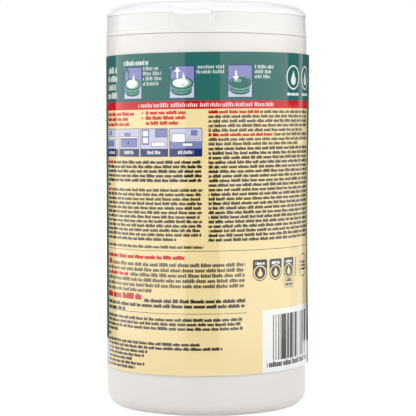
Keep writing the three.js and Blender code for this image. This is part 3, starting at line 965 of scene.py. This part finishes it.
def add_print_map(piece, spots):
    """Gives each vertex its place on the print: the way round and the height, in metres."""
    layer = piece.data.uv_layers.new(name="print")
    for loop in piece.data.loops:
        layer.data[loop.index].uv = spots[loop.vertex_index]


class CANISTER_OT_labels(Operator):
    """Wraps the base label and the folded leaflet, whose last end stands off the canister"""

    bl_idname = "canister.labels"
    bl_label = "Wrap the labels"

    def execute(self, context):
        size, inks = sizes("labels"), sizes("colours")
        for make in (panel_group, disc_group, wedge_group, rows_group, bars_group):
            make()
        self.base_label(size, inks)
        self.leaflet(size, inks)
        return {"FINISHED"}

    def base_label(self, size, inks):
        """One sheet all the way round, whose ends overlap behind the leaflet."""
        sides = sizes("shell").sides
        outer = label_high.x
        heights = even((label_low.z, label_high.z), (label_high.z - label_low.z) / 6)
        points, spots = [], []
        for side in range(sides + 1):
            turn = 2 * math.pi * side / sides
            for radius in (outer, outer - size.thickness):
                lean = radius * math.sin(turn) * math.tan(size.tilt)
                for height in heights:
                    points.append(around(radius, turn + size.turn, height + lean))
                    spots.append((outer * turn, height))
        front, rest = sheet_faces(sides, len(heights))
        piece = new_piece("base_label", points, front + rest, front_print(inks))
        add_print_map(piece, spots)
        smooth(piece)
        ride(piece, "canister", "label_film", "wrap_label")

    def leaflet(self, size, inks):
        """Thin pages that follow the canister to a tangent and then stand off it."""
        page, gap, margin = 0.09 * MM, 0.02 * MM, 0.05 * MM
        meeting = COLUMN_GAP * MM / label_high.x
        turns = even((size.leaflet_start, meeting, size.leaflet_end), math.radians(1.05))
        stops = (label_low.z + margin, RULE * MM, STRIPE_FOOT * MM, label_high.z - margin)
        heights = even(stops, 4 * MM)
        lower_start = size.page_inset / label_high.x
        tints = [make(inks) for make in (steps_print, left_print, right_print, foot_print)]
        tints.append(self.page_edges(inks))
        points, spots, faces, kinds = [], [], [], []
        for leaf in range(size.pages):
            front = leaf == size.pages - 1
            reach = size.free_end - (size.pages - 1 - leaf) * size.page_step
            places = [(turn, 0) for turn in turns if front or turn > size.leaflet_start + lower_start]
            places += [(size.leaflet_end, run) for run in even((0, reach), 0.7 * MM)[1:]]
            first = len(points)
            for turn, run in places:
                sine, cosine = math.sin(turn + size.turn), math.cos(turn + size.turn)
                dip = min(1, (turn - size.leaflet_start) / lower_start) if front else 1
                for thick in (page, 0):
                    for height in heights:
                        radius = label_high.x + page + leaf * (page + gap) * dip**0.7 + thick
                        radius += self.stand_off(size, turn, run, height)
                        lean = (radius * math.sin(turn) + run * math.cos(turn)) * math.tan(size.tilt)
                        x, y = radius * sine + run * cosine, run * sine - radius * cosine
                        points.append((x, y, height + lean))
                        spots.append((label_high.x * turn + run, height))
            outside, rest = sheet_faces(len(places) - 1, len(heights), first)
            faces += outside + rest
            kinds += [self.field(*spots[face[0]]) if front else len(tints) - 1 for face in outside]
            kinds += [len(tints) - 1] * len(rest)
        piece = new_piece("directions_booklet", points, faces)
        for tint in tints:
            piece.data.materials.append(tint)
        add_print_map(piece, spots)
        for face, kind in zip(piece.data.polygons, kinds):
            face.material_index = kind
        smooth(piece)
        ride(piece, "canister", "leaflet_paper", "directions_leaflet")

    def field(self, across, height):
        """Which of the four printed fields a place is in."""
        slack = 0.01
        if height / MM > STRIPE_FOOT - slack:
            return 0
        if height / MM < RULE - slack:
            return 3
        return 1 if across / MM < COLUMN_GAP - slack else 2

    def stand_off(self, size, turn, run, height):
        """How far the leaflet stands off: its glued edge swells and its free end waves."""
        swell_reach, swell_start, wave_top, inwards = 5 * MM, 0.45, 0.97, 0.1 * MM
        part = (height - label_low.z) / (label_high.z - label_low.z)
        from_edge = (turn - size.leaflet_start) * label_high.x
        swell = max(0, math.sin(math.pi * (part - swell_start) / (1 - swell_start)))
        swell *= math.exp(-((from_edge / swell_reach) ** 2))
        wave = 0.35 * MM * math.cos(2 * math.pi * (part - wave_top))
        loose = (run / size.free_end) ** 1.5
        return size.glue_bulge * swell + loose * (wave - inwards)

    def page_edges(self, inks):
        """Uncoated paper with fine fibre, for the pages under the first."""
        material, graph, shader, place = new_material("page_paper")
        fibre = graph.noise(place, 1800, 4, 0.6)
        graph.feeds(shader, {
            "Base Color": graph.shade(inks.paper[:3], graph.spread(fibre, 0.9, 1.03)),
            "Roughness": graph.spread(fibre, 0.6, 0.8),
            "Normal": graph.bump(fibre, 0.3, 0.03 * MM),
        })
        return material


def lid_top():
    """The height of the lid's top. The cap's foot is a clearance above it."""
    return body_high.z + CLEARANCE + sizes("lid").wall


def plug_radius():
    """The outside of the lid's plug wall, which goes into the neck."""
    shell = sizes("shell")
    return body_high.x - shell.neck_inset - shell.neck_wall - PLUG_CLEARANCE


class CANISTER_OT_lid(Operator):
    """Moulds the lid: skirt, neck channel, sunken deck, star-slit orifice and the hinge's pad"""

    bl_idname = "canister.lid"
    bl_label = "Mould the lid"

    def execute(self, context):
        size, shell = sizes("lid"), sizes("shell")
        foot, top = lid_low.z, lid_top()
        edge_foot, rim = foot - size.foot_drop, foot + size.rim_height
        top_radius = lid_high.x - size.draft
        bead_in = body_high.x - shell.neck_inset + shell.neck_bead + BEAD_CLEARANCE
        skirt_in = bead_in + 0.4 * MM
        bead, bead_half = foot + 1.9 * MM, 0.7 * MM
        plug = plug_radius()
        deck = top - size.deck_depth
        land = deck + size.orifice_rise
        edge = size.orifice_radius + size.land_width
        slope = edge + size.slope_width
        profile = [
            (lid_high.x, edge_foot, 0.3 * MM),
            (lid_high.x, rim, 0.3 * MM),
            (lid_high.x - size.rim_step, rim + 0.3 * MM, 0.3 * MM),
            (top_radius, top - size.seam_fall, 0.1 * MM),
            (top_radius - size.wall, top, 0.2 * MM),
            (plug - size.wall, top, 0.35 * MM),
            (plug - size.wall, deck, 0.8 * MM),
            (slope, deck, 2.0 * MM),
            (edge, land, 0.8 * MM),
            (size.orifice_radius, land, 0.5 * MM),
            (size.orifice_radius, land - size.wall, 0.4 * MM),
            (edge, land - size.wall, 0.5 * MM),
            (slope, deck - size.wall, 1.0 * MM),
            (plug, deck - size.wall, 0.4 * MM),
            (plug, top - size.wall, 0.15 * MM),
            (top_radius - size.wall, top - size.wall, 0.3 * MM),
            (skirt_in, top - 3.9 * MM, 0.3 * MM),
            (skirt_in, bead + bead_half, 0.2 * MM),
            (bead_in, bead, 0.2 * MM),
            (skirt_in, bead - bead_half, 0.2 * MM),
            (skirt_in, edge_foot, 0.1 * MM),
        ]
        tint = plastic("lid_plastic", sizes("colours").lid, 0.3, 0.03)
        piece = turned("lid_moulding", fillet(profile), shell.sides, tint)
        self.hinge_pad(piece, size, foot, top, bead_in)
        for slit in range(size.slits):
            self.slit(piece, size, deck, 2 * math.pi * slit / size.slits)
        self.scoop(piece, size, top)
        soften(piece)
        smooth(piece)
        ride(piece, "lid", "lid_plastic", "lid_base", "lid_deck")
        return {"FINISHED"}

    def hinge_pad(self, piece, size, foot, top, backing):
        """A flat under the hinge, with a recess over it that the film crosses."""
        half, face = size.pad_width / 2, size.draft - lid_high.x
        recess = hinge_place.y + sizes("cap").film_thickness / 2 + sizes("cap").notch_gap
        pad_top, pad_foot = top - size.pad_drop, foot + size.pad_margin
        beyond, above = face - 10 * MM, top + 2 * MM
        carve(piece, block("pad", (-half, face, pad_foot), (half, -backing, pad_top)), "UNION")
        carve(piece, block("front", (-half, beyond, pad_foot), (half, face, above)), "DIFFERENCE")
        carve(piece, block("over", (-half, beyond, pad_top), (half, recess, above)), "DIFFERENCE")

    def slit(self, piece, size, deck, turn):
        """One slit of the star, with a round end that keeps it from tearing on."""
        half, reach, end = size.slit_width / 2, size.orifice_radius + size.slit_length, 0.8 * MM
        low, high = deck - 4 * MM, deck + 6 * MM
        bar = block("slit", (-half, 0, low), (half, reach, high))
        hole = turned("slit_end", [(0, low), (end, low), (end, high), (0, high)], 20, closed=False)
        hole.data.transform(Matrix.Translation((0, reach, 0)))
        for tool in (bar, hole):
            tool.data.transform(Matrix.Rotation(turn, 4, "Z"))
            carve(piece, tool, "DIFFERENCE")

    def scoop(self, piece, size, top):
        """A shallow hollow under the cap's lip."""
        radius = lid_high.x - size.draft
        sagitta = radius - math.sqrt(radius**2 - (size.scoop_width / 2) ** 2)
        half = [(max(x, 0), y) for x, y in arc(0, 0, 1, -90, 90, 24)]
        ball = turned("scoop", half, 64, closed=False)
        wide, deep, high = size.scoop_width / 2, size.scoop_depth + sagitta, size.scoop_height / 2
        stretch = Matrix.Diagonal((wide, deep, high, 1))
        place = Matrix.Translation((0, radius + sagitta, top - high))
        ball.data.transform(place @ stretch)
        smooth(ball)
        carve(piece, ball, "DIFFERENCE")


class CANISTER_OT_cap(Operator):
    """Moulds the flip cap, its plug and orifice ring, and the living hinge that joins it"""

    bl_idname = "canister.cap"
    bl_label = "Mould the cap"

    def execute(self, context):
        size, lid = sizes("cap"), sizes("lid")
        radius, top = cap_high.x, cap_high.z
        bottom = lid_top() + CLEARANCE
        edge_foot, middle = lid_top() + size.seam, bottom + size.side
        high, flat = top - middle, radius - size.round
        panel = flat - size.rim_width
        panel_top, hollow_top = top - size.panel_drop, top - size.wall
        under = panel_top - size.wall
        plug = plug_radius() - lid.wall - PLUG_CLEARANCE
        plug_foot = lid_top() - size.plug_depth
        ring = lid.orifice_radius + lid.land_width
        ring_foot = lid_top() - lid.deck_depth + lid.orifice_rise + CLEARANCE
        profile = [
            (0, under),
            (ring, under, 0.4 * MM),
            (ring, ring_foot, 0.3 * MM),
            (ring + size.ring_wall, ring_foot, 0.3 * MM),
            (ring + size.ring_wall, under, 0.4 * MM),
            (panel + size.wall, under, 0.5 * MM),
            (panel + size.wall, hollow_top, 0.4 * MM),
            (plug - size.plug_wall, hollow_top, 0.5 * MM),
            (plug - size.plug_wall, plug_foot, 0.4 * MM),
            (plug, plug_foot, 0.4 * MM),
            (plug, top - 1.5 * size.wall, 0.5 * MM),
            *arc(flat, middle, size.round - size.wall, 60, 0, 8, high - size.wall),
            (radius - size.wall, edge_foot, 0.2 * MM),
            (radius, edge_foot - lid.seam_fall, 0.1 * MM),
            *arc(flat, middle, size.round, 0, 90, 26, high),
            (panel, top, 0.5 * MM),
            (panel - size.panel_drop, panel_top, 0.6 * MM),
            (1.4 * MM, panel_top, 0.15 * MM),
            (1.2 * MM, panel_top - 0.2 * MM, 0.1 * MM),
            (0, panel_top - 0.2 * MM),
        ]
        tint = bpy.data.materials["lid_plastic"]
        sides = sizes("shell").sides
        piece = turned("flip_cap_moulding", fillet(profile), sides, tint, closed=False)
        self.lip(piece, size, radius, bottom, sides)
        self.notch(piece, size, bottom)
        soften(piece)
        smooth(piece)
        ride(piece, "cap", "lid_plastic", "flip_cap")
        self.hinge(size, lid_top() - lid.pad_drop - 0.05 * MM, bottom + 0.5 * MM, tint)
        return {"FINISHED"}

    def lip(self, piece, size, radius, bottom, sides):
        """A slice of a disc a little wider than the cap, with a rounded edge and ends."""
        reach, inner = radius + size.lip_reach, radius - size.wall
        low, high, half = bottom, bottom + size.lip_height, size.lip_width / 2
        profile = [(inner, low), (reach, low, 0.4 * MM), (reach, high, 0.4 * MM), (inner, high)]
        disc = turned("lip", fillet(profile), sides)
        slice_box = block("slice", (-half, radius - 3 * MM, low - MM), (half, reach + MM, low + 3 * MM))
        carve(disc, slice_box, "INTERSECT")
        carve(piece, disc, "UNION")

    def notch(self, piece, size, bottom):
        """A flat tab at the hinge, set back from the dome's side."""
        half = size.notch_width / 2
        face = hinge_place.y + size.film_thickness / 2 + size.notch_gap
        top = bottom + size.notch_height
        tab = block("tab", (-half, face, bottom), (half, face + size.wall, top + size.wall))
        carve(piece, tab, "UNION")
        cut = block("cut", (-half, face - 8 * MM, bottom - MM), (half, face, top))
        carve(piece, cut, "DIFFERENCE")

    def hinge(self, size, low, high, tint):
        """A thin film from the pad's top to the tab's foot."""
        half, middle = size.notch_width / 2 - size.film_margin, hinge_place.y
        edge, waist = size.film_thickness * 0.5, size.film_thickness * 0.3
        steps, columns = 14, 12
        points = []
        for column in range(columns + 1):
            x = half * (2 * column / columns - 1)
            for side in (-1, 1):
                for step in range(steps + 1):
                    share = step / steps
                    thick = waist + (edge - waist) * (2 * share - 1) ** 2
                    points.append((x, middle + side * thick, low + (high - low) * share))
        front, rest = sheet_faces(columns, steps + 1)
        piece = new_piece("living_hinge", points, front + rest, tint)
        smooth(piece)
        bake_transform(piece)


class CANISTER_OT_wipes(Operator):
    """Winds the roll and pulls its first wipe up through the orifice"""

    bl_idname = "canister.wipes"
    bl_label = "Wind the wipes"

    def execute(self, context):
        size = sizes("wipes")
        tint = nonwoven("nonwoven_web", sizes("colours").web)
        self.roll(size, tint)
        self.pulled_wipe(size, tint)
        return {"FINISHED"}

    def roll(self, size, tint):
        """A roll whose top is one spiral of web edges, each a little above or below the next."""
        draw = random.Random(11)
        outer, inner = roll_high.x, size.hole_radius
        top = roll_high.z - size.turn_rise
        turns = int((outer - inner) / size.turn_pitch)
        pitch = (outer - inner) / turns
        sides, cells_per_turn = 128, 4
        cells = turns * cells_per_turn
        lifts = [draw.uniform(0.15, 1.0) * size.turn_rise for _ in range(turns + 2)]
        points = []
        for cell in range(cells + 1):
            for side in range(sides):
                share = side / sides
                turn = 2 * math.pi * share
                wound = cell / cells_per_turn - share
                index = math.floor(wound)
                lift = lifts[index % turns] * (1 - share) + lifts[(index + 1) % turns] * share
                crest = 0 if cell in (0, cells) else math.sin(math.pi * (wound - index)) ** 0.6
                wave = 0.15 * MM * math.sin(3 * turn + index)
                radius = inner + cell / cells_per_turn * pitch
                points.append(around(radius, turn, top + (lift + wave) * crest))
        for radius in (outer, inner):
            points += [around(radius, 2 * math.pi * side / sides, roll_low.z) for side in range(sides)]
        rings = rings_of(cells + 3, sides)
        piece = new_piece("wound_roll", points, ring_faces([*rings, rings[0]]), tint)
        smooth(piece, 50)
        ride(piece, "canister", "nonwoven", "wipes_roll")

    def pulled_wipe(self, size, tint):
        """The web gathered in pleats, twisted as it rises, and ragged where it tore off."""
        draw = random.Random(5)
        bottom, top = wipe_low.z, wipe_high.z
        rows, per_pleat = 60, 10
        sides = size.pleats * per_pleat
        twist, sway, lean, valley = 1.1, 0.25, 0.35, 0.28
        torn, drooping, droop = 0.9, 0.93, 0.8 * MM
        root, stem, tuft = size.hole_radius - 0.5 * MM, size.stem_radius, size.tuft_radius
        deck = lid_top() - sizes("lid").deck_depth
        reaches = [draw.uniform(0.55, 1.0) for _ in range(size.pleats)]
        tears = [draw.uniform(-1.6, 0.0) * MM for _ in range(size.pleats * 2)]
        points = []
        for row in range(rows + 1):
            share = row / rows
            height = bottom + (top - bottom) * share
            if height < deck:
                outer = root + (stem - root) * ((height - bottom) / (deck - bottom)) ** 1.5
            else:
                rise = (height - deck) / (top - deck)
                outer = stem + (tuft - stem) * math.sin(math.pi * min(rise * 0.8, 1))
            inner = outer * valley
            tear = max(0, share - torn) / (1 - torn)
            sag = droop * max(0, share - drooping) / (1 - drooping)
            for side in range(sides):
                pleat, part = side // per_pleat, side % per_pleat / per_pleat
                crest = math.sin(math.pi * part)
                radius = inner + (outer * (0.75 + 0.25 * reaches[pleat]) - inner) * crest**0.8
                turn = 2 * math.pi * side / sides + twist * share + sway * math.sin(6 * share + pleat)
                turn += lean * crest * math.sin(pleat * 2.3 + 5 * share) / size.pleats
                drop = tears[pleat * 2 + (part > 0.5)] * tear - sag * crest
                points.append(around(radius, turn, height + drop))
        piece = new_piece("pulled_wipe", points, ring_faces(rings_of(rows + 1, sides)), tint)
        thicken = piece.modifiers.new("web", "SOLIDIFY")
        thicken.thickness = 0.25 * MM
        thicken.offset = 0
        piece.data.shade_smooth()
        ride(piece, "canister", "nonwoven", "leading_wipe")


# The lamps and the cards that the gloss shows. The first two numbers of a soft box and of a card
# are its sides, in degrees round from the camera. A box ends with its glow, a card with its foot
# and top in metres. A fill has its angle and its glow. The distances are from the axis.
BOX_DISTANCE, BOX_HEIGHT, CARD_DISTANCE, FILL_DISTANCE, FILL_HEIGHT = 0.32, 0.46, 0.3, 0.5, 0.4
SOFT_BOXES = (("left_box", -117.4, -22.4, 1.12), ("right_box", 14.1, 104, 1.06))
FILLS = (("front_fill", 0, 2.4), ("back_fill", 180, 1.2))
DARK_CARDS = (
    ("left_far_card", -175, -140, 0, 0.25),
    ("left_card", -140, -113.8, 0, 0.5),
    ("front_card", -21.5, 13.6, 0, 0.35),
    ("gap_card", 95.8, 117.9, 0.17, 0.25),
    ("right_card", 129.8, 150, 0, 0.5),
    ("right_far_card", 150, 175, 0, 0.25),
)


def from_camera(degrees, distance, height):
    """A place round the canister, by its angle from the camera's side."""
    return around(distance, math.radians(degrees) + sizes("studio").camera_turn, height)


class CANISTER_OT_studio(Operator):
    """Sets the floor, the lamps, the dark cards, the white surround and the camera"""

    bl_idname = "canister.studio"
    bl_label = "Set the studio"

    def execute(self, context):
        self.camera(context, sizes("studio"))
        self.floor(sizes("colours").backdrop)
        self.surround(context)
        for box in SOFT_BOXES:
            self.soft_box(*box)
        for fill in FILLS:
            self.fill(*fill)
        self.lamp("top_box", from_camera(180, 0.4, 1.5), 0.2, (1.2, 1.2), 1.14)
        dark, _, shader, _ = new_material("black_card")
        shader.inputs["Base Color"].default_value = (0.1, 0.1, 0.1, 1)
        shader.inputs["Roughness"].default_value = 1
        for card in DARK_CARDS:
            self.dark_card(dark, *card)
        context.scene.view_settings.view_transform = "Standard"
        return {"FINISHED"}

    def camera(self, context, size):
        data = bpy.data.cameras.new("camera")
        data.lens = size.lens
        data.sensor_width = 36
        data.clip_end = 50
        camera = bpy.data.objects.new("camera", data)
        context.scene.collection.objects.link(camera)
        turn = Matrix.Rotation(size.camera_turn, 4, "Z")
        camera.location = turn @ Vector((size.camera_side, -size.camera_distance, size.camera_height))
        camera.rotation_euler = (math.radians(90) - size.camera_tilt, 0, size.camera_turn)
        context.scene.camera = camera

    def seen(self, graph):
        """1 for what the camera, a reflection or a clear piece sees, and 0 for lighting."""
        path = graph.node("ShaderNodeLightPath")
        seen = graph.calc("MAXIMUM", path.outputs["Is Camera Ray"], path.outputs["Is Glossy Ray"])
        return graph.calc("MAXIMUM", seen, path.outputs["Is Transmission Ray"])

    def floor(self, tint):
        """A pale floor that keeps the canister's shadow. It turns plain white further out."""
        half, near, away, near_glow = 6.0, 0.16, 0.5, 0.55
        corners = [(-half, -half, 0), (half, -half, 0), (half, half, 0), (-half, half, 0)]
        material, graph, shader, place = new_material("floor_paint")
        distance = graph.node("ShaderNodeVectorMath", {0: place}, operation="LENGTH").outputs["Value"]
        feeds = {"Value": distance, "From Min": near, "From Max": away, "To Min": near_glow}
        far = graph.node("ShaderNodeMapRange", feeds, interpolation_type="SMOOTHSTEP").outputs["Result"]
        graph.feeds(shader, {
            "Base Color": tint,
            "Roughness": 0.9,
            "Emission Color": (1, 1, 1, 1),
            "Emission Strength": graph.calc("MULTIPLY", self.seen(graph), far),
        })
        floor = new_piece("floor", corners, [(0, 1, 2, 3)], material)

    def surround(self, context):
        world = bpy.data.worlds.new("surround")
        world.use_nodes = True
        graph = Graph(world.node_tree)
        light = world.node_tree.nodes["Background"]
        strength = graph.spread(self.seen(graph), 0.22, 1.0)
        graph.feeds(light, {"Color": (1, 1, 1, 1), "Strength": strength})
        context.scene.world = world

    def lamp(self, name, place, aim, box, glow):
        """A flat lamp that faces a height on the axis. A white card by it shows its glow times white."""
        data = bpy.data.lights.new(name, "AREA")
        data.shape = "RECTANGLE"
        data.size, data.size_y = box
        data.energy = glow * math.pi * box[0] * box[1]
        lamp = bpy.data.objects.new(name, data)
        bpy.context.scene.collection.objects.link(lamp)
        lamp.location = place
        lamp.rotation_euler = (Vector((0, 0, aim)) - Vector(place)).to_track_quat("-Z", "Y").to_euler()
        return lamp

    def soft_box(self, name, first, last, glow):
        """A soft box close by that reaches from one side angle of the camera to another."""
        wide, middle = 2 * BOX_DISTANCE * math.tan(math.radians(last - first) / 2), BOX_HEIGHT / 2
        place = from_camera((first + last) / 2, BOX_DISTANCE, middle)
        self.lamp(name, place, middle, (wide, BOX_HEIGHT), glow)

    def fill(self, name, degrees, glow):
        """A small lamp over the camera's view, or behind. The gloss doesn't show it."""
        place = from_camera(degrees, FILL_DISTANCE, FILL_HEIGHT)
        fill = self.lamp(name, place, 0.16, (0.35, 0.25), glow)
        fill.visible_glossy = False

    def dark_card(self, material, name, first, last, foot, top):
        """A dark card that only reflections see. It gives the gloss its dark edges."""
        turns = even((first, last), 6)
        points = [from_camera(turn, CARD_DISTANCE, height) for turn in turns for height in (foot, top)]
        faces = [(2 * i, 2 * i + 2, 2 * i + 3, 2 * i + 1) for i in range(len(turns) - 1)]
        card = new_piece(name, points, faces, material)
        card.visible_camera = card.visible_diffuse = card.visible_shadow = False
        card.visible_transmission = False


class CANISTER_PT_panel(Panel):
    """Lists what the canister is made of"""

    bl_label = "Wipes Canister"
    bl_idname = "CANISTER_PT_panel"
    bl_space_type = "VIEW_3D"
    bl_region_type = "UI"
    bl_category = "Wipes Canister"

    def draw(self, context):
        for step in STEPS:
            self.layout.operator(step.bl_idname)
        for name, group in GROUPS.items():
            box = self.layout.box()
            box.label(text=name.capitalize())
            for field in group.__annotations__:
                box.prop(sizes(name), field)


GROUPS = {
    "shell": CanisterSizes,
    "lid": LidSizes,
    "cap": CapSizes,
    "labels": LabelSizes,
    "wipes": WipesSizes,
    "studio": StudioSizes,
    "colours": Colours,
}
STEPS = (
    CANISTER_OT_shell,
    CANISTER_OT_labels,
    CANISTER_OT_lid,
    CANISTER_OT_cap,
    CANISTER_OT_wipes,
    CANISTER_OT_studio,
)


def register():
    for kind in (*GROUPS.values(), *STEPS, CANISTER_PT_panel):
        bpy.utils.register_class(kind)
    for name, group in GROUPS.items():
        setattr(bpy.types.Scene, "canister_" + name, PointerProperty(type=group))


def unregister():
    for name in GROUPS:
        delattr(bpy.types.Scene, "canister_" + name)
    for kind in reversed((*GROUPS.values(), *STEPS, CANISTER_PT_panel)):
        bpy.utils.unregister_class(kind)


def main():
    register()
    for step in STEPS:
        group, name = step.bl_idname.split(".")
        getattr(getattr(bpy.ops, group), name)()


if __name__ == "__main__":
    main()
